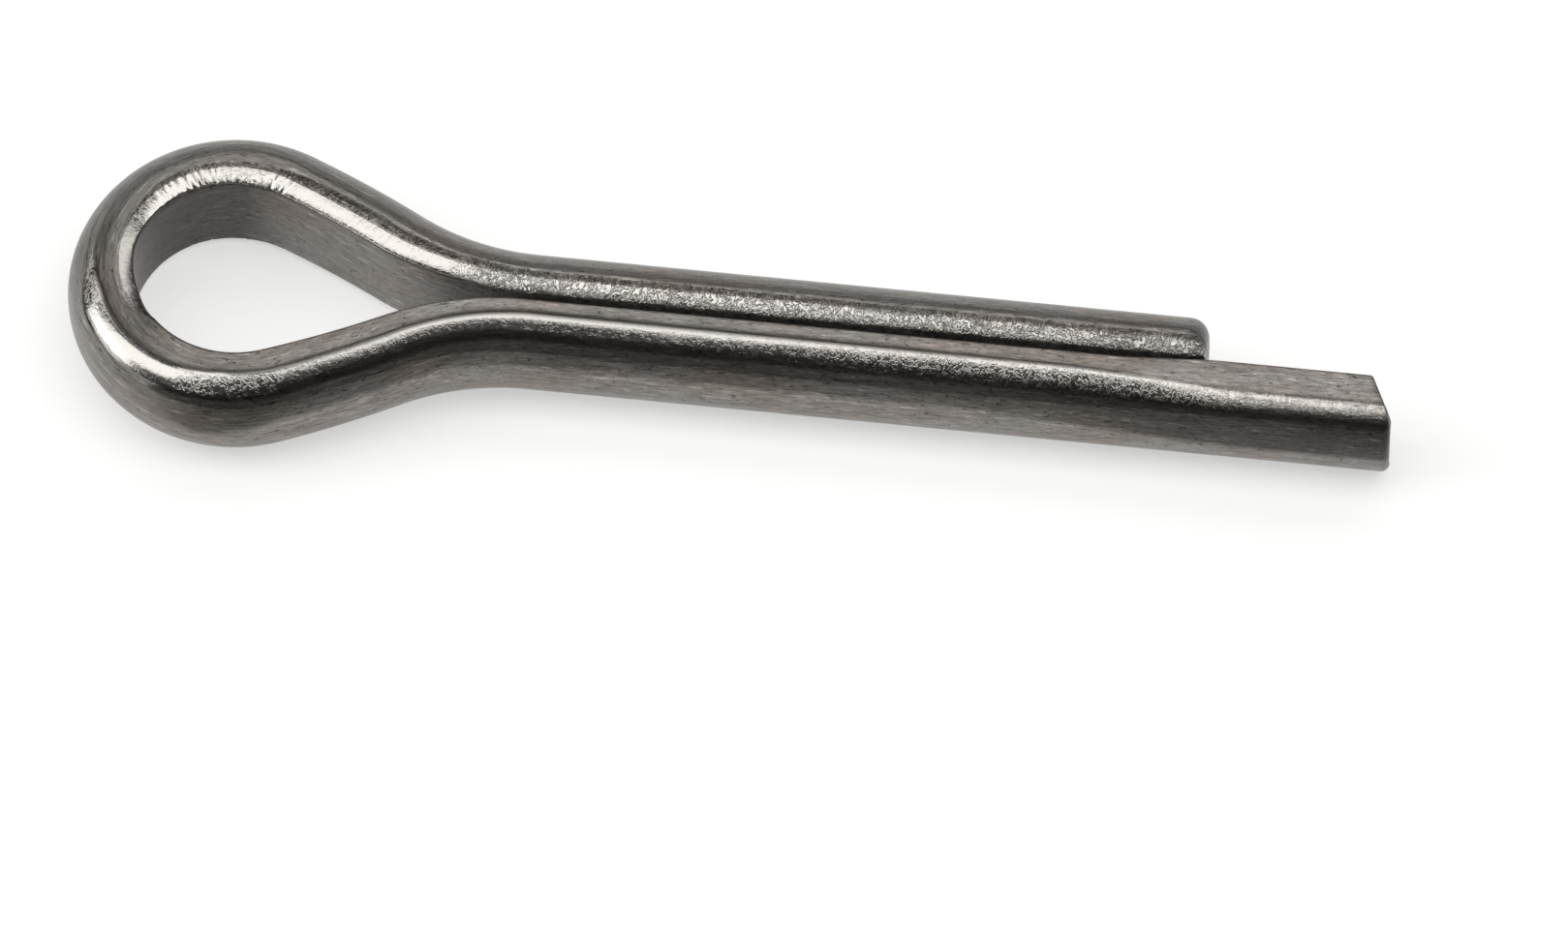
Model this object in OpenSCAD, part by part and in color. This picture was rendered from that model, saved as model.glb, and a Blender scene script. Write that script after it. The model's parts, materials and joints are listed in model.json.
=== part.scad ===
// Split pin with one long leg. A length of half-round steel wire is bent back on itself into
// a round eye and two legs, whose broad inner faces lie together and make a round shank.
// The pin lies on its side, on one of the narrow flats that run all along the wire.
// +X runs along the shank to the leg tips, and +Z is square to the plane of the bends.

/* [Shank] */
// Diameter across the two legs together
shank_d = 7.4; // [6:0.1:9]
// Gap between the flats of the two legs
leg_gap = 0.2; // [0.1:0.05:0.4]
// Length of the short leg, from the end of the neck bend
short_leg_l = 37; // [15:0.5:100]
// How much further the long leg reaches
long_leg_extra = 10.5; // [4:0.5:25]

/* [Wire] */
// Radius of the two edges beside the wire's broad inner face
inner_edge_r = 0.9; // [0.5:0.05:1.1]
// How far the two narrow flats are set below the crowns of those edges
flat_drop = 0.065; // [0.03:0.005:0.2]

/* [Eye and neck] */
// Radius of the eye, to the wire's inner face
eye_r = 5.6; // [4.5:0.1:9]
// How far past a half circle the eye runs on each side, in degrees
eye_angle = 23; // [10:1:26]
// Slope of each side to the shank where its flank meets its neck bend, in degrees
flank_angle = 29; // [25:1:40]
// Radius of the neck bend, to the wire's inner face
neck_r = 17; // [10:0.5:24]

/* [Leg tips] */
// Radius of the rounded rim on the short leg's tip
short_rim_r = 1.1; // [0.3:0.1:2]
// Radius of the rounded rim on the long leg's tip
long_rim_r = 0.5; // [0.2:0.1:0.9]
// How far the long leg's bevel sets its inner face back from its tip
bevel_setback = 1.3; // [0.3:0.1:2.5]
// How much of the long leg's end is left square beside its bevel
bevel_land = 0.9; // [0.6:0.1:2]

/* [Hidden] */
$fn = 96;
steel = [0.44, 0.42, 0.40];
cut_margin = 1;

shank_r = shank_d / 2;
flat_y = leg_gap / 2;
wire_depth = shank_r - flat_y;

// Height of the centre of a rounded inner edge, which touches both the inner face and the round back
edge_z = sqrt(pow(shank_r - inner_edge_r, 2) - pow(inner_edge_r + flat_y, 2));
wire_h = 2 * (edge_z + inner_edge_r - flat_drop);

// Each side of the pin is the eye's arc, a slack flank arc, a reverse arc at the neck and a straight leg
// The flank's radius follows from the others, so that the neck bend ends exactly on the shank
flank_r = (eye_r * cos(eye_angle) - flat_y - neck_r * (1 - cos(flank_angle)))
    / (cos(eye_angle) - cos(flank_angle));
flank_centre = -(flank_r - eye_r) * [sin(eye_angle), cos(eye_angle)];
neck_centre = flank_centre + (flank_r + neck_r) * [sin(flank_angle), cos(flank_angle)];
long_leg_l = short_leg_l + long_leg_extra;
bevel_angle = atan(bevel_setback / (wire_depth - bevel_land));

// The origin is under the middle of the pin, on the surface that it lies on
eye_end_x = -(eye_r + wire_depth);
long_tip_x = neck_centre.x + long_leg_l;
middle_x = (eye_end_x + long_tip_x) / 2;

// A number to six digits, and what is left of it
function main_part(v) = v == 0 ? 0 : let(unit = pow(10, floor(log(abs(v))) - 5)) round(v / unit) * unit;

// Moves its children in two steps, so that tangent pieces meet to the last digit
module shift(v) {
    first_step = [for (x = v) main_part(x)];
    translate(first_step) translate(v - first_step) children();
}

// Upper half of the wire's section: x is the distance out from the broad inner face
module wire_half_section() {
    intersection() {
        translate([-flat_y, 0]) circle(r = shank_r);
        translate([-cut_margin, 0]) square([shank_d, wire_h / 2]);
        union() {
            square([inner_edge_r, edge_z]);
            translate([inner_edge_r, 0]) square(shank_r);
            shift([inner_edge_r, edge_z]) circle(r = inner_edge_r);
        }
    }
}

// The wire's section: a half round with two narrow flats and two rounded edges
module wire_section() {
    wire_half_section();
    mirror([0, 1]) wire_half_section();
}

// The wire bent round a centre with its inner face towards the centre
module bend_in(centre, radius, start, angle) {
    shift([centre.x, centre.y, 0])
        rotate_extrude(angle = angle, start = start)
            shift([radius, 0]) wire_section();
}

// The wire bent round a centre with its round back towards the centre
module bend_out(centre, radius, start, angle) {
    shift([centre.x, centre.y, 0])
        rotate_extrude(angle = angle, start = start)
            shift([radius, 0]) mirror([1, 0]) wire_section();
}

// What the rounded rim of a tip takes away: a ring round a shank that ends at x = 0
module rim_waste(rim_r) {
    rotate([0, 90, 0]) rotate_extrude()
        translate([shank_r - rim_r, -rim_r]) difference() {
            square(rim_r + cut_margin);
            circle(r = rim_r);
        }
}

// What the bevel takes away from a leg that ends at x = 0, with its inner face towards -Y
module bevel_waste() {
    translate([-bevel_setback, flat_y, 0]) rotate([0, 0, -bevel_angle])
        translate([0, -shank_r, -shank_r]) cube([shank_d, 3 * shank_r, shank_d]);
}

// A straight leg that starts at x = 0, on the +Y side of the shank's axis
module leg(length, rim_r) {
    difference() {
        translate([0, flat_y, 0]) rotate([90, 0, 90]) linear_extrude(height = length) wire_section();
        translate([length, 0, 0]) rim_waste(rim_r);
        if ($children > 0) translate([length, 0, 0]) children();
    }
}

// One side of the pin from the eye to the shank, on the +Y side of the axis
module eye_to_shank() {
    bend_in(flank_centre, flank_r, 90 - flank_angle, flank_angle - eye_angle);
    bend_out(neck_centre, neck_r, 270 - flank_angle, flank_angle);
}

// The whole pin, about the centre of its eye
module bent_wire() {
    bend_in([0, 0], eye_r, 90 - eye_angle, 180 + 2 * eye_angle);
    eye_to_shank();
    mirror([0, 1, 0]) eye_to_shank();
    shift([neck_centre.x, 0, 0]) {
        leg(short_leg_l, short_rim_r);
        mirror([0, 1, 0]) leg(long_leg_l, long_rim_r) bevel_waste();
    }
}

module cotter_pin() {
    color(steel) shift([-middle_x, 0, wire_h / 2]) bent_wire();
}

cotter_pin();
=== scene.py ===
import json
from math import cos, pi, radians, sin

import bpy
import numpy as np
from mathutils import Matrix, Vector, noise


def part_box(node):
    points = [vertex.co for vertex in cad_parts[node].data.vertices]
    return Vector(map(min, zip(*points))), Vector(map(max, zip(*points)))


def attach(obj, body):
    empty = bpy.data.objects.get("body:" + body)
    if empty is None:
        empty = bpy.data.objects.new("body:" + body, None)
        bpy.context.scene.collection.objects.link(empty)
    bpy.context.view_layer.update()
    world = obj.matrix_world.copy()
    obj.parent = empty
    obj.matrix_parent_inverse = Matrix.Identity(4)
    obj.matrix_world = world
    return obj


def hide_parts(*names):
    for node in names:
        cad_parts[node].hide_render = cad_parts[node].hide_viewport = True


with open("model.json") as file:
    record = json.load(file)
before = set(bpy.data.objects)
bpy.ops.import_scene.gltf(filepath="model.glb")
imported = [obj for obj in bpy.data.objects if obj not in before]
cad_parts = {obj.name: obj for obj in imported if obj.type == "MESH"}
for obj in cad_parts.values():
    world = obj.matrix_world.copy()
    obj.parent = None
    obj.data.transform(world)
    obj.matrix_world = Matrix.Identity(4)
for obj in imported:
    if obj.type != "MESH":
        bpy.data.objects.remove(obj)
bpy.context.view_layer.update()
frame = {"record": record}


# THE WIRE'S PATH
# The whole pin is one length of half-round mild steel wire. It is bent back on itself round a peg, which
# makes the eye, and nipped in at the neck, so that its two legs lie together as a round shank.
# The path follows the wire's broad inner face, in millimetres, from the short leg's tip to the long one's.
MM = 0.001
low, high = (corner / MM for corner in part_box("cotter_pin"))
mounts = {mount["name"]: mount for mount in frame["record"]["mounts"]}

# Sizes come from the frame. Those it doesn't hold are given: the gap, bends, short leg, rims and bevel.
shank_r = mounts["shank"]["dims"]["r_mm"]
leg_gap = 0.2
inner_y = leg_gap / 2
wire_depth = shank_r - inner_y
wire_h = high.z - low.z
middle_z = (low.z + high.z) / 2

eye_r = mounts["eye"]["pos_m"][0] / MM - low.x - wire_depth
eye_overrun = radians(23)
neck_r = 17
neck_turn = radians(29)
flank_turn = neck_turn - eye_overrun
flank_r = eye_r * cos(eye_overrun) - inner_y - neck_r * (1 - cos(neck_turn))
flank_r /= cos(eye_overrun) - cos(neck_turn)

short_rim_r = 1.1
long_rim_r = 0.5
bevel_reach = 4
long_tip_x = high.x
shank_x = long_tip_x - long_rim_r - mounts["shank"]["dims"]["length_mm"]
short_leg_l = 37
long_leg_l = long_tip_x - shank_x
neck_l = neck_r * neck_turn
flank_l = flank_r * flank_turn

# How far apart the mesh's rings are: closest at the tips' edges and where creases cross the eye
edge_spacing = 0.03
creased_spacing = 0.06
rim_spacing = 0.085
bevel_spacing = 0.11
eye_spacing = 0.115
bend_spacing = 0.165
leg_spacing = 0.2

# Each stretch: its length, how far it turns to the left, and how far apart its rings are
edge_l = 0.3
rim_l = 1.5
creased_turn = radians(53)
smooth_turn = pi + 2 * eye_overrun - creased_turn
stretches = [
    (edge_l, 0, edge_spacing),
    (rim_l - edge_l, 0, rim_spacing),
    (short_leg_l - rim_l, 0, leg_spacing),
    (neck_l, -neck_turn, bend_spacing),
    (flank_l, flank_turn, bend_spacing),
    (eye_r * creased_turn, creased_turn, creased_spacing),
    (eye_r * smooth_turn, smooth_turn, eye_spacing),
    (flank_l, flank_turn, bend_spacing),
    (neck_l, -neck_turn, bend_spacing),
    (long_leg_l - bevel_reach, 0, leg_spacing),
    (bevel_reach - edge_l, 0, bevel_spacing),
    (edge_l, 0, edge_spacing),
]


def walk(stretches, x, y, heading):
    """Every ring's distance along the wire, its place and its heading, stretch by stretch."""
    passed = [(0, x, y, heading)]
    along = 0
    for length, turn, spacing in stretches:
        steps = round(length / spacing)
        for step in range(1, steps + 1):
            share = step / steps
            chord = length * share
            towards = heading + turn * share / 2
            if turn:
                chord *= sin(turn * share / 2) / (turn * share / 2)
            place = (x + chord * cos(towards), y + chord * sin(towards))
            passed.append((along + length * share, *place, heading + turn * share))
        along, x, y, heading = passed[-1]
    return np.array(passed)


rings = walk(stretches, shank_x + short_leg_l, inner_y, pi)
along = rings[:, :1]
heading = rings[:, 3:4]
wire_l = rings[-1, 0]
eye_start = short_leg_l + neck_l + flank_l
long_leg_start = wire_l - long_leg_l
eye_end = long_leg_start - neck_l - flank_l

# The press squared the long tip, from the first of these places on and in full from the second
squaring_start = wire_l - 17.5
square_tip = wire_l - 9


def round_eye(angle):
    """How far along the wire a place on the eye is, from its angle in degrees: 90 is at +Y, 180 at -X."""
    return eye_start + eye_r * (radians(angle - 90) + eye_overrun)


def by_place(values):
    """A value for every ring, from values at a few places along the wire."""
    return np.interp(along, list(values), list(values.values()))


# THE WIRE'S SECTION
# The die gave the wire a round back and a flat inner face with rounded edges. Pressing it on its side left
# a narrow flat above and below, which ends at a crease in the back, and squared the shoulder on the eye's
# near side and at the long tip. The peg eased the inner edges over round the eye.
flat_z = wire_h / 2

# The inner edge is a small corner with a broad round above it on the short leg and the eye's far side, and
# from there on a gentle round with a sharp corner above it. Each is an arc, and ends at its own turn.
lower_r = by_place({
    0: 0.25, round_eye(200): 0.25, round_eye(225): 1, eye_end: 1.2, long_leg_start: 3, wire_l - 15: 3,
    wire_l - 10: 0.7, wire_l: 0.7,
})
lower_turn = np.radians(by_place({0: 57, round_eye(200): 57, round_eye(225): 30, wire_l: 30}))
upper_r = by_place({0: 2, round_eye(200): 2, round_eye(225): 0.15, wire_l: 0.15})
upper_turn = np.radians(by_place({0: 80, round_eye(200): 80, round_eye(225): 86, wire_l: 86}))
lower_depth = lower_r * (1 - np.cos(lower_turn))
slope_depth = lower_depth + upper_r * (np.cos(lower_turn) - np.cos(upper_turn))

# Between the inner edge and the flat the steel slopes up a little, most of all on the flank
slope_w = by_place({
    0: 0.3, short_leg_l: 0.4, short_leg_l + neck_l: 0.8, round_eye(60): 0.6, round_eye(75): 0.3,
    round_eye(190): 0.3, round_eye(225): 0.1, wire_l: 0.1,
})
slope_rise = slope_w * by_place({0: 0.12, round_eye(200): 0.12, round_eye(225): 0, wire_l: 0})
flat_z_start = flat_z - by_place({
    0: 0.03, short_leg_l: 0.03, eye_start: 0.05, eye_end: 0.05, long_leg_start: 0.02,
})

# How deep in the crease lies, and the shape of the back beyond it: half the height of its oval, and how
# full the oval's shoulder is, where 2 is round and more is squarer
crease_depth = by_place({
    0: 1.7, short_leg_l: 1.9, eye_start: 2.2, round_eye(90): 2.4, round_eye(180): 2.4, round_eye(198): 2,
    round_eye(220): 1.95, round_eye(240): 1.8, round_eye(250): 1.7, round_eye(270): 1.45, eye_end: 1.6,
    eye_end + flank_l: 1.55, long_leg_start: 1.35, squaring_start: 1.4, square_tip: 1.85, wire_l: 1.85,
})
crown = by_place({
    0: shank_r, round_eye(180): shank_r, round_eye(198): 3.5, round_eye(250): 3.5, round_eye(270): 3.6,
    round_eye(285): shank_r, squaring_start: shank_r, square_tip: 3.56, wire_l: 3.56,
})
fullness = by_place({
    0: 2.3, short_leg_l: 2.4, eye_start: 2.6, round_eye(90): 2.8, round_eye(180): 2.8, round_eye(198): 3.6,
    round_eye(220): 3.5, round_eye(240): 3.3, round_eye(254): 3.1, round_eye(270): 2.5, round_eye(285): 2.3,
    eye_end + flank_l: 2.2, long_leg_start: 2.02, squaring_start: 2.05, square_tip: 3, wire_l: 3,
})

# How much of a square shoulder is kept: 0 draws it in to the wire's round back, and 1 leaves it as it is
squared = by_place({
    0: 0, round_eye(182): 0, round_eye(204): 1, round_eye(250): 1, round_eye(275): 0, squaring_start: 0,
    square_tip: 1, wire_l: 1,
})

# How many points each part of half a section has
inner_face_points = 6
lower_arc_points = 5
upper_arc_points = 8
slope_points = 4
flat_points = 7
shoulder_points = 13
back_points = 12
shoulder_span = radians(25)


def blend(share, first, second):
    return first + (second - first) * share


def share_out(count):
    """Shares from 0 up to, but not with, 1."""
    return np.arange(count)[None, :] / count


def back_point(turn, crown, fullness):
    """Depth and height of a point of the wire's back, from its turn away from the vertical."""
    across, up = np.sin(turn), np.cos(turn)
    reach = (np.abs(across / shank_r) ** fullness + np.abs(up / crown) ** fullness) ** (-1 / fullness)
    return reach * across - inner_y, reach * up


def half_section(crown, fullness):
    """Depth and height of the points of half a section, from the middle of its inner face to the back."""
    slope_z = flat_z_start - slope_rise
    upper_z = slope_z - upper_r * (np.sin(upper_turn) - np.sin(lower_turn))
    lower_z = upper_z - lower_r * np.sin(lower_turn)
    crease_z = crown * (1 - ((crease_depth + inner_y) / shank_r) ** fullness) ** (1 / fullness)
    crease_turn = np.arctan2(crease_depth + inner_y, crease_z)
    shoulder_turn = crease_turn + shoulder_span
    lower_turns = lower_turn * share_out(lower_arc_points)
    upper_turns = blend(share_out(upper_arc_points), lower_turn, upper_turn)
    slope_share = share_out(slope_points)
    flat_share = share_out(flat_points)
    face_share = share_out(inner_face_points)
    pieces = [
        (np.zeros_like(lower_z * face_share), lower_z * face_share),
        (lower_r * (1 - np.cos(lower_turns)), lower_z + lower_r * np.sin(lower_turns)),
        (lower_depth + upper_r * (np.cos(lower_turn) - np.cos(upper_turns)),
         upper_z + upper_r * (np.sin(upper_turns) - np.sin(lower_turn))),
        (slope_depth + slope_w * slope_share, slope_z + slope_rise * slope_share),
        (blend(flat_share, slope_depth + slope_w, crease_depth), blend(flat_share, flat_z_start, crease_z)),
        back_point(blend(share_out(shoulder_points), crease_turn, shoulder_turn), crown, fullness),
        back_point(blend(share_out(back_points), shoulder_turn, pi / 2), crown, fullness),
        back_point(np.full_like(along, pi / 2), crown, fullness),
    ]
    return np.stack([np.hstack(coordinates) for coordinates in zip(*pieces)], -1)


# The under side has a plain round back
upper = half_section(crown, fullness)
lower = half_section(shank_r, np.full_like(along, 2))[:, -2:0:-1] * (1, -1)
outline = np.concatenate([upper, lower], 1)
depth = outline[..., 0]
height = outline[..., 1]

# Which way each point faces, as a direction and as a tilt in degrees: -90 is the inner face, 0 a narrow
# flat and 90 the middle of the back
outward = np.roll(outline, -1, 1) - np.roll(outline, 1, 1)
outward = np.stack([-outward[..., 1], outward[..., 0]], -1)
outward /= np.linalg.norm(outward, axis=-1, keepdims=True)
tilt = np.degrees(np.arctan2(outward[..., 0], np.abs(outward[..., 1])))


# THE WIRE'S SURFACE
# The press and the peg burnished the steel beside the narrow flats and left it crinkled, with creases
# across the eye's inner edge where the bend is tightest. Every dent goes in, so none makes the wire larger.
# Each kind of mark has a window of tilt, in degrees, at the inner edge and another one past the crease.
def window(value, start, end, soft):
    """1 between start and end, fading to 0 over the soft distance outside them."""
    share = np.clip(np.minimum(value - start, end - value) / soft + 1, 0, 1)
    return share * share * (3 - 2 * share)


# How burnished each edge is by places along the wire: a bright band, with a wider polished one round it
inner_burnish = by_place({
    0: 0.45, 6: 0.6, 16: 0.7, 26: 1, round_eye(190): 1, round_eye(215): 0.4, round_eye(270): 0.15,
    long_leg_start: 0, wire_l: 0,
})
outer_burnish = by_place({
    0: 0.2, eye_start: 0.1, round_eye(172): 0.15, round_eye(188): 0.8, round_eye(198): 1,
    long_leg_start: 1, wire_l - 15: 1, square_tip: 0.55, wire_l: 0.55,
})
crease_margin = 0.02
past_crease = depth > crease_depth - crease_margin

# On the eye's left side the outer band reaches further round the shoulder, by so many degrees
left_reach = by_place({
    0: 0, round_eye(180): 0, round_eye(200): 6, round_eye(235): 6, round_eye(275): 0, wire_l: 0,
})
inner_bright = inner_burnish * window(tilt, -66, -14, 5)
outer_bright = outer_burnish * window(tilt, 10, 34 + left_reach, 6) * past_crease
burnish = np.maximum(inner_bright, outer_bright)
inner_polish = inner_burnish * window(tilt, -72, -5, 4)
outer_polish = outer_burnish * window(tilt, 10, 54 + left_reach, 12) * past_crease
polish = np.maximum(inner_polish, outer_polish)

# How crinkled each edge is, by places along the wire: the peg and the press left some stretches smooth
inner_crinkle = by_place({
    0: 1, short_leg_l + 2.5: 1, short_leg_l + 5: 0.1, eye_start: 0.1, round_eye(90): 0.3,
    round_eye(122): 0.08, round_eye(190): 0.08, round_eye(215): 0.2, round_eye(290): 0.2,
    long_leg_start: 0.1, wire_l: 0.1,
})
outer_crinkle = by_place({
    0: 0.3, short_leg_l: 0.3, eye_start: 0.2, round_eye(150): 0.3, round_eye(185): 0.5,
    round_eye(200): 0.25, round_eye(212): 0.06, round_eye(249): 0.06, round_eye(257): 0.3,
    round_eye(282): 0.25, eye_end + 2: 0.08, long_leg_start: 0.08, wire_l - 0.72 * long_leg_l: 0.12,
    wire_l - 0.55 * long_leg_l: 0.22, wire_l - 10: 0.28, wire_l - 7: 0.12, wire_l: 0.1,
})
inner_crinkle = inner_crinkle * window(tilt, -88, -4, 5)
outer_crinkle = outer_crinkle * window(tilt, 15, 40, 12) * past_crease
crinkle = np.maximum(inner_crinkle, outer_crinkle)

# How deep each point is dented: a little all over, a groove at the crease, long waves where it is
# burnished and dimples where it is crinkled. Waves and dimples are noise, brought to about 0 to 1.
under_size = 0.012
groove_w = 0.07
groove_depth = 0.05
wave_l = 4
wave_w = 1.6
wave_depth = 0.03
dimple_l = 0.7
dimple_depth = 0.03
near_flat_z = 2
near_flat = np.abs(height) > near_flat_z
dent = under_size + groove_depth * np.exp(-((depth - crease_depth) / groove_w) ** 2) * near_flat
for i, ring_along in enumerate(along[:, 0]):
    for j, (point_depth, point_height) in enumerate(outline[i]):
        wave_place = Vector((ring_along / wave_l, point_depth / wave_w, point_height / wave_w))
        dimple_place = Vector((ring_along, point_depth, point_height)) / dimple_l
        wave = 0.5 + 0.5 * noise.noise(wave_place)
        dimple = 0.5 + 0.5 * noise.noise(dimple_place)
        dent[i, j] += wave_depth * wave * burnish[i, j] + dimple_depth * dimple * crinkle[i, j]

# The creases across the eye's inner edge, each with its own place, width, depth, lean and reach
crease_pitch = 0.27
pitch_error = 0.1
edge_tilt = -40
rng = np.random.default_rng(7)
fading_places = [round_eye(60), round_eye(75), round_eye(115), round_eye(150)]
fading = [0.3, 1, 1, 0.2]
crease_places = np.arange(fading_places[0], fading_places[-1], crease_pitch)
for place in crease_places + rng.uniform(-pitch_error, pitch_error, len(crease_places)):
    width = rng.uniform(0.04, 0.09)
    deep = rng.uniform(0.015, 0.06)
    deep *= np.interp(place, fading_places, fading)
    lean = rng.uniform(-0.006, 0.006)
    reach = window(tilt, rng.uniform(-85, -55), rng.uniform(-16, -4), 14)
    offset = along - place - lean * (tilt - edge_tilt)
    dent += deep * np.exp(-(offset / width) ** 2) * reach

# How much light is left where the steel is darkened: by painted shade on the inner face, by a painted dark
# reflection and a real stain on the outer side, and plainly darker on the flats and at the tips. The outer
# side's darkening goes from side_bottom up to side_top, as heights above the wire's middle.
# Painted shade on the inner face, deepest inside the eye's back and left, standing in for the shade the
# wall reflects
inner_face_shade = by_place({
    0: 0.8, eye_start - flank_l: 0.95, round_eye(52): 0.9, round_eye(78): 0.6, round_eye(92): 0.36,
    round_eye(120): 0.3, round_eye(150): 0.26, round_eye(165): 0.3, round_eye(210): 0.75, eye_end: 0.9,
    wire_l: 0.9,
})
# The flats are darker round the eye's left and lower left
flat_darkening = by_place({
    0: 0.9, short_leg_l: 0.9, eye_start: 1, round_eye(90): 1, round_eye(150): 0.85, round_eye(180): 0.55,
    round_eye(225): 0.5, round_eye(250): 0.9, eye_end: 1, wire_l: 1,
})
# On the outer side: a painted dark reflection along the legs, a real stain patch at the eye's bottom, and
# darker near the long tip
side_stain_and_reflection = by_place({
    0: 0.9, round_eye(120): 0.85, round_eye(160): 0.7, round_eye(190): 0.75, round_eye(215): 1,
    round_eye(245): 0.75, round_eye(262): 0.38, round_eye(285): 0.4, eye_end: 0.5, eye_end + flank_l: 0.52,
    long_leg_start: 0.5, wire_l - 22: 0.52, wire_l - 11: 0.3, wire_l: 0.24,
})
side_bottom = by_place({
    0: 1.4, round_eye(240): 1.4, round_eye(265): 0.5, eye_end: 1.4, wire_l - 22: 1.4, square_tip: 0.4,
    wire_l: 0.4,
})
# Darker at the very tips
tip_darkening = by_place({0: 0.4, 0.5: 0.5, short_rim_r: 1, wire_l - 0.5: 1, wire_l: 0.5})
side_top = 2.7
on_side = window(height, side_bottom, side_top, 0.5) * window(tilt, 46, 90, 12)
# Painted shade, painted dark reflection, a real stain and plain darkening, multiplied into one share of the
# light left
stain = blend(window(tilt, -90, -76, 8), 1, inner_face_shade) * tip_darkening
stain = stain * blend(on_side, 1, side_stain_and_reflection) * blend(window(tilt, -5, 9, 5), 1, flat_darkening)

# A dark line of painted shade lies at the crease, wider in some places, and a line of painted dark
# reflection, of even width, lies where the flat starts
start_w = 0.16
crease_w = by_place({
    0: 0.08, eye_start: 0.08, round_eye(180): 0.1, round_eye(197): 0.17, round_eye(235): 0.17,
    round_eye(262): 0.14, eye_end: 0.18, long_leg_start: 0.2, wire_l - 20: 0.15, square_tip: 0.08,
    wire_l: 0.06,
})
crease_shade = by_place({
    0: 0.5, eye_start: 0.6, round_eye(180): 0.75, round_eye(200): 0.97, wire_l - 15: 0.97, square_tip: 0.6,
    wire_l: 0.6,
})
start_reflection = by_place({
    0: 0.4, short_leg_l: 0.5, short_leg_l + neck_l: 0.7, round_eye(67): 0.6, round_eye(90): 0.5,
    round_eye(170): 0.3, round_eye(195): 0, wire_l: 0,
})
crease_shade_line = crease_shade * np.exp(-((depth - crease_depth + crease_w / 2) / crease_w) ** 2)
start_reflection_line = start_reflection * np.exp(-((depth - slope_depth - slope_w / 2) / start_w) ** 2)
painted_shade_lines = np.maximum(crease_shade_line, start_reflection_line) * near_flat

# How much thicker the bend has squeezed the wire on the inside of the eye
swell = by_place({
    0: 0, short_leg_l + 0.4 * neck_l: 0, short_leg_l + neck_l: 0.36, eye_start: 0.4, round_eye(90): 0.42,
    round_eye(135): 0.2, round_eye(175): 0, round_eye(205): 0.15, round_eye(250): 0.12, eye_end: 0.1,
    eye_end + flank_l: 0, wire_l: 0,
})


# THE WIRE'S TIPS
# The shears left square ends with their rims rounded over, and the long leg is bevelled as well, so that
# it opens away from the short one. The bevel slides points back along the wire, and the rims draw them in.
bevel_setback = 1.3
bevel_land = 0.9
bevel_soft = 0.06
edge_break = 0.14
to_short_tip = np.broadcast_to(along, depth.shape)
to_long_tip = wire_l - to_short_tip
bevel = bevel_setback * (1 - depth / (wire_depth - bevel_land))
bevel = (bevel + np.sqrt(bevel ** 2 + bevel_soft ** 2)) / 2
slide = -bevel * np.clip(1 - to_long_tip / bevel_reach, 0, 1)
bent_along = to_short_tip + slide
end_left = np.maximum(np.minimum(to_long_tip - slide - bevel, to_short_tip), 0)


def rounded(left, radius):
    """How far in a rounded edge of that radius has drawn a surface that ends in so many millimetres."""
    inside = np.clip(radius - left, 0, radius)
    return radius - np.sqrt(radius ** 2 - inside ** 2)


dent = dent + rounded(end_left, edge_break)
section_depth = depth - outward[..., 0] * dent - swell * (1 - depth / wire_depth)
section_height = height - outward[..., 1] * dent
off_axis = section_depth + inner_y
from_axis = np.hypot(off_axis, section_height)
limit = shank_r + squared * np.maximum(from_axis - shank_r, 0)
limit = limit - rounded(to_short_tip, short_rim_r) - rounded(wire_l - bent_along, long_rim_r)
draw_in = np.minimum(1, limit / from_axis)
section_depth = off_axis * draw_in - inner_y
section_height = section_height * draw_in


# THE WIRE'S MESH
# Each section stands square across the path, and quads join each to the next. Every point also carries its
# place on the unbent wire, and how marked it is there, for the steel to follow.
x_mm = rings[:, 1:2] + slide * np.cos(heading) + section_depth * np.sin(heading)
y_mm = rings[:, 2:3] + slide * np.sin(heading) - section_depth * np.cos(heading)
bent = np.stack([x_mm, y_mm, middle_z + section_height], -1)
straight = np.stack([bent_along, section_depth, section_height], -1)

# Each row of data holds a point, its place on the unbent wire and its marks
# Two of these marks carry painted light: the lines at the crease and the flat's start are painted shade and
# dark reflection, and the darkening mark is partly painted shade and dark reflection
marks = {"burnish": burnish, "crinkle": crinkle, "grime": painted_shade_lines, "polish": polish, "stain": stain}
data = np.concatenate([bent, straight, np.stack(list(marks.values()), -1)], -1)
data = data.reshape(-1, data.shape[-1])
straight_column = 3
marks_column = 6

index = np.arange(depth.size).reshape(depth.shape)
following = np.roll(index, -1, 1)
faces = np.stack([index[:-1], index[1:], following[1:], following[:-1]], -1).reshape(-1, 4).tolist()


def close_end(data, faces, ring, flip):
    """Closes an end of the wire with loops that shrink to one point in the middle of its face."""
    loops = [ring]
    middle = data[ring].mean(0)
    for share in (0.8, 0.6, 0.4, 0.2):
        loops.append(np.arange(len(data), len(data) + len(ring)))
        data = np.vstack([data, middle + (data[ring] - middle) * share])
    last = len(data)
    data = np.vstack([data, middle])
    for outer, inner in zip(loops, loops[1:]):
        for face in zip(outer, np.roll(outer, -1), np.roll(inner, -1), inner):
            faces.append(face if flip else face[::-1])
    for face in zip(loops[-1], np.roll(loops[-1], -1), [last] * len(ring)):
        faces.append(face if flip else face[::-1])
    return data


data = close_end(data, faces, index[0], True)
data = close_end(data, faces, index[-1], False)
faces = [[int(corner) for corner in face] for face in faces]

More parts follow.
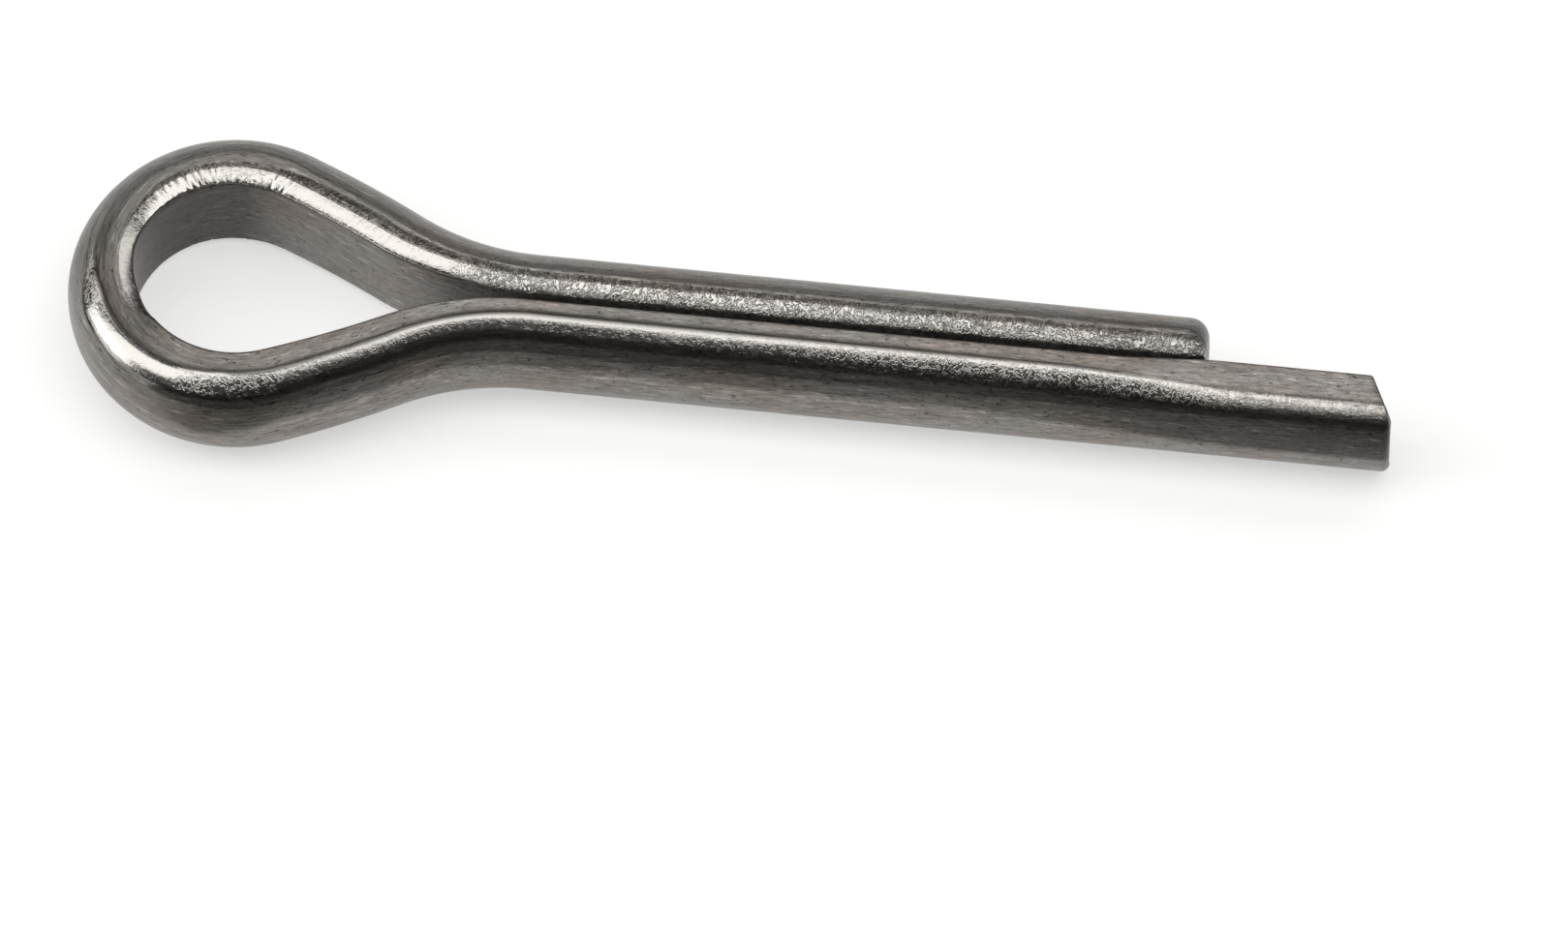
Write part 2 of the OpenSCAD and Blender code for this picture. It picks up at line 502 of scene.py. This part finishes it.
mesh = bpy.data.meshes.new("bent_wire")
mesh.from_pydata((data[:, :straight_column] * MM).tolist(), [], faces)
mesh.polygons.foreach_set("use_smooth", [True] * len(mesh.polygons))
straight_wire = mesh.attributes.new("straight_wire", "FLOAT_VECTOR", "POINT")
straight_columns = data[:, straight_column:marks_column]
straight_wire.data.foreach_set("vector", straight_columns.astype(np.float32).ravel())
for column, name in enumerate(marks, marks_column):
    mark = mesh.attributes.new(name, "FLOAT", "POINT")
    mark.data.foreach_set("value", data[:, column].astype(np.float32))
wire = bpy.data.objects.new("bent_wire", mesh)
bpy.context.scene.collection.objects.link(wire)


# THE WIRE'S STEEL
# Drawn mild steel, left as it came off the bench: dull grey with fine lines along it, and bright, smooth
# and crinkled where the press and the peg burnished the shoulders. Stains darken it, and painted shade
# and painted dark reflections darken its creases, inner face and sides.
def colour(hex_code):
    """An sRGB hex colour as linear red, green, blue and alpha."""
    parts = [int(hex_code[i:i + 2], 16) / 255 for i in (1, 3, 5)]
    return [part / 12.92 if part <= 0.04045 else ((part + 0.055) / 1.055) ** 2.4 for part in parts] + [1]


def add(tree, kind, inputs, output=0, **settings):
    """Adds a shader node with its inputs, as values or links, and its settings, and gives one output."""
    made = tree.nodes.new("ShaderNode" + kind)
    for name, value in settings.items():
        setattr(made, name, value)
    for name, value in inputs.items():
        if isinstance(value, bpy.types.NodeSocket):
            tree.links.new(value, made.inputs[name])
        else:
            made.inputs[name].default_value = value
    return made.outputs[output] if made.outputs else None


dull = colour("#807D79")
brown = colour("#7D7670")
bright = colour("#A8A5A0")
# The colour of the painted shade at the crease and of the painted dark reflection where the flat starts
grime = colour("#22201D")

steel = bpy.data.materials.new("drawn_mild_steel")
steel.use_nodes = True
tree = steel.node_tree
tree.nodes.clear()
place = add(tree, "Attribute", {}, "Vector", attribute_name="straight_wire")
burnished, crinkled, painted_shade_amount, polished, stain_and_shade_kept = (
    add(tree, "Attribute", {}, "Fac", attribute_name=name) for name in marks
)

# Noises on the unbent wire, by how many spots they have to the millimetre along, in depth and in height.
# Real drawing lines are finer, about 20 to the millimetre, and these are drawn coarser to show.
noises = {}
for name, spots, detail, roughness, distortion in (
    ("fine_lines", (1.2, 8, 8), 4, 0.8, 0.5),
    ("broad_lines", (0.3, 2.8, 2.8), 3, 0.7, 0.4),
    ("patches", (0.16, 0.55, 0.55), 3, 0.6, 0),
    ("strokes", (3.6, 2.4, 3), 2, 0.5, 1.2),
    ("specks", (2.6, 6, 6), 3, 0.6, 0.3),
    ("scratches", (0.9, 7, 7), 1, 0.5, 0.4),
):
    scaled = add(tree, "VectorMath", {0: place, 1: spots}, operation="MULTIPLY")
    noises[name] = add(tree, "TexNoise", {
        "Vector": scaled, "Scale": 1, "Detail": detail, "Roughness": roughness, "Distortion": distortion,
    })

# How much light each kind of mark keeps, from the start of its noise's range to the end
# The light kept starts from the darkening mark, which is partly painted shade and dark reflection
shade = stain_and_shade_kept
for name, start, end, start_kept, end_kept in (
    ("fine_lines", 0.3, 0.7, 0.55, 1.45),
    ("broad_lines", 0.3, 0.7, 0.78, 1.22),
    ("specks", 0.33, 0.4, 0.4, 1),
    ("scratches", 0.64, 0.72, 1, 1.7),
):
    kept = add(tree, "MapRange", {
        "Value": noises[name], "From Min": start, "From Max": end, "To Min": start_kept, "To Max": end_kept,
    })
    shade = add(tree, "Math", {0: shade, 1: kept}, operation="MULTIPLY")

# The burnished steel's border wanders with the drawing lines and the crinkles
wander = add(tree, "Math", {0: noises["broad_lines"], 1: noises["strokes"]}, operation="ADD")
border = add(tree, "Math", {0: wander, 1: 0.8, 2: burnished}, operation="MULTIPLY_ADD")
shine = add(tree, "MapRange", {
    "Value": border, "From Min": 1.1, "From Max": 1.5,
}, interpolation_type="SMOOTHSTEP")

# A Mix node's sockets go by number: 2 and 3 mix numbers, and 6 and 7 mix colours
browned = add(tree, "MapRange", {"Value": noises["patches"], "From Min": 0.4, "From Max": 0.65})
tone = add(tree, "Mix", {0: browned, 6: dull, 7: brown}, 2, data_type="RGBA")
tone = add(tree, "Mix", {0: shine, 6: tone, 7: bright}, 2, data_type="RGBA")
shade = add(tree, "Mix", {0: shine, 2: shade, 3: 1}, data_type="FLOAT")
tone = add(tree, "VectorMath", {0: tone, "Scale": shade}, operation="SCALE")
# The painted shade and painted dark reflection lines darken the steel at the crease and where the flat
# starts
tone = add(tree, "Mix", {0: painted_shade_amount, 6: tone, 7: grime}, 2, data_type="RGBA")

# The polished steel is smoother, and its border wanders too
smooth = add(tree, "Math", {0: polished, 1: noises["broad_lines"]}, operation="ADD")
rough = add(tree, "MapRange", {
    "Value": smooth, "From Min": 0.7, "From Max": 1.3, "To Min": 0.33, "To Max": 0.14,
})

# Bump distances are in metres: a few hundredths of a millimetre for lines and crinkles, less for specks
line_height = add(tree, "MapRange", {"Value": polished, "To Min": 1, "To Max": 0.12})
line_height = add(tree, "Math", {0: noises["fine_lines"], 1: line_height}, operation="MULTIPLY")
normal = add(tree, "Bump", {"Height": line_height, "Distance": 0.000025})
normal = add(tree, "Bump", {"Height": noises["specks"], "Distance": 0.000003, "Normal": normal})
from_middle = add(tree, "Math", {0: noises["strokes"], 1: 0.5}, operation="SUBTRACT")
from_middle = add(tree, "Math", {0: from_middle}, operation="ABSOLUTE")
grooves = add(tree, "MapRange", {"Value": from_middle, "From Max": 0.1})
stroke_height = add(tree, "Math", {0: noises["strokes"], 1: 1.2, 2: grooves}, operation="MULTIPLY_ADD")
stroke_height = add(tree, "Math", {0: stroke_height, 1: crinkled}, operation="MULTIPLY")
normal = add(tree, "Bump", {"Height": stroke_height, "Distance": 0.000035, "Normal": normal})
shader = add(tree, "BsdfPrincipled", {
    "Base Color": tone, "Metallic": 1, "Roughness": rough, "Normal": normal,
})
add(tree, "OutputMaterial", {"Surface": shader})
mesh.materials.append(steel)
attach(wire, "root")
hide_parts("cotter_pin")


# THE TABLE
# A plain sheet of matt white card under the pin, which takes the pin's shadow. To the camera and in
# reflections, half of it is its own glow, so that it shows white without more light on the pin.
table_half = 3
corners = [(-1, -1), (1, -1), (1, 1), (-1, 1)]
table_points = [(x * table_half, y * table_half, low.z * MM) for x, y in corners]
table_mesh = bpy.data.meshes.new("table")
table_mesh.from_pydata(table_points, [], [(0, 1, 2, 3)])
table = bpy.data.objects.new("table", table_mesh)
bpy.context.scene.collection.objects.link(table)

white_card = bpy.data.materials.new("matt_white_card")
white_card.use_nodes = True
tree = white_card.node_tree
tree.nodes.clear()
card = add(tree, "BsdfDiffuse", {"Color": colour("#FCFCFB")})
glow = add(tree, "Emission", {"Color": colour("#FFFFFE"), "Strength": 0.99})
shown = add(tree, "LightPath", {}, "Is Camera Ray")
for ray_kind in ("Is Glossy Ray", "Is Transmission Ray"):
    ray = add(tree, "LightPath", {}, ray_kind)
    shown = add(tree, "Math", {0: shown, 1: ray}, operation="MAXIMUM")
glow_share = 0.5
shown = add(tree, "Math", {0: shown, 1: glow_share}, operation="MULTIPLY")
lit_card = add(tree, "MixShader", {0: shown, 1: card, 2: glow})
add(tree, "OutputMaterial", {"Surface": lit_card})
table_mesh.materials.append(white_card)


# LIGHT AND CAMERA
# A long softbox over the pin shines in its shoulders, and another one behind it lights its flats. Two
# small ones on the left and a dim one in front fill in its sides.
def softbox(name, centre, width, height, strength):
    """A softbox that faces the pin, with a strength for each square metre of it."""
    lamp = bpy.data.lights.new(name, "AREA")
    lamp.shape = "RECTANGLE"
    lamp.size = width
    lamp.size_y = height
    lamp.energy = strength * width * height
    box = bpy.data.objects.new(name, lamp)
    box.location = centre
    box.rotation_euler = box.location.to_track_quat("Z", "Y").to_euler()
    box.visible_camera = False
    bpy.context.scene.collection.objects.link(box)


softbox("overhead_softbox", centre=(0, -0.085, 0.6), width=1.9, height=0.39, strength=7.5)
softbox("back_softbox", centre=(0, 0.53, 0.73), width=2.2, height=0.46, strength=5)
softbox("left_softbox", centre=(-0.71, -0.1, 0.38), width=0.5, height=0.42, strength=7.5)
softbox("front_left_softbox", centre=(-0.678, -0.345, 0.247), width=0.6, height=0.42, strength=3.6)
softbox("front_softbox", centre=(0, -0.95, 0.25), width=2, height=0.42, strength=0.75)

world = bpy.data.worlds.new("dim_studio")
world.use_nodes = True
world.node_tree.nodes["Background"].inputs["Color"].default_value = colour("#545454")
bpy.context.scene.world = world

# The camera looks down at the pin from the long leg's side, through a long lens
view_azimuth = radians(6.35)
view_elevation = radians(60)
view_distance = 2
view_width = 85.889 * MM
look_at = Vector((3.55, -5.83, low.z)) * MM
to_camera = Vector((sin(view_azimuth), -cos(view_azimuth), 0)) * cos(view_elevation)
to_camera.z = sin(view_elevation)
lens = bpy.data.cameras.new("camera")
lens.sensor_width = 36
lens.lens = lens.sensor_width * view_distance / view_width
lens.clip_end = 10
camera = bpy.data.objects.new("camera", lens)
camera.location = look_at + to_camera * view_distance
camera.rotation_euler = to_camera.to_track_quat("Z", "Y").to_euler()
bpy.context.scene.collection.objects.link(camera)
bpy.context.scene.camera = camera
bpy.context.scene.view_settings.view_transform = "Standard"
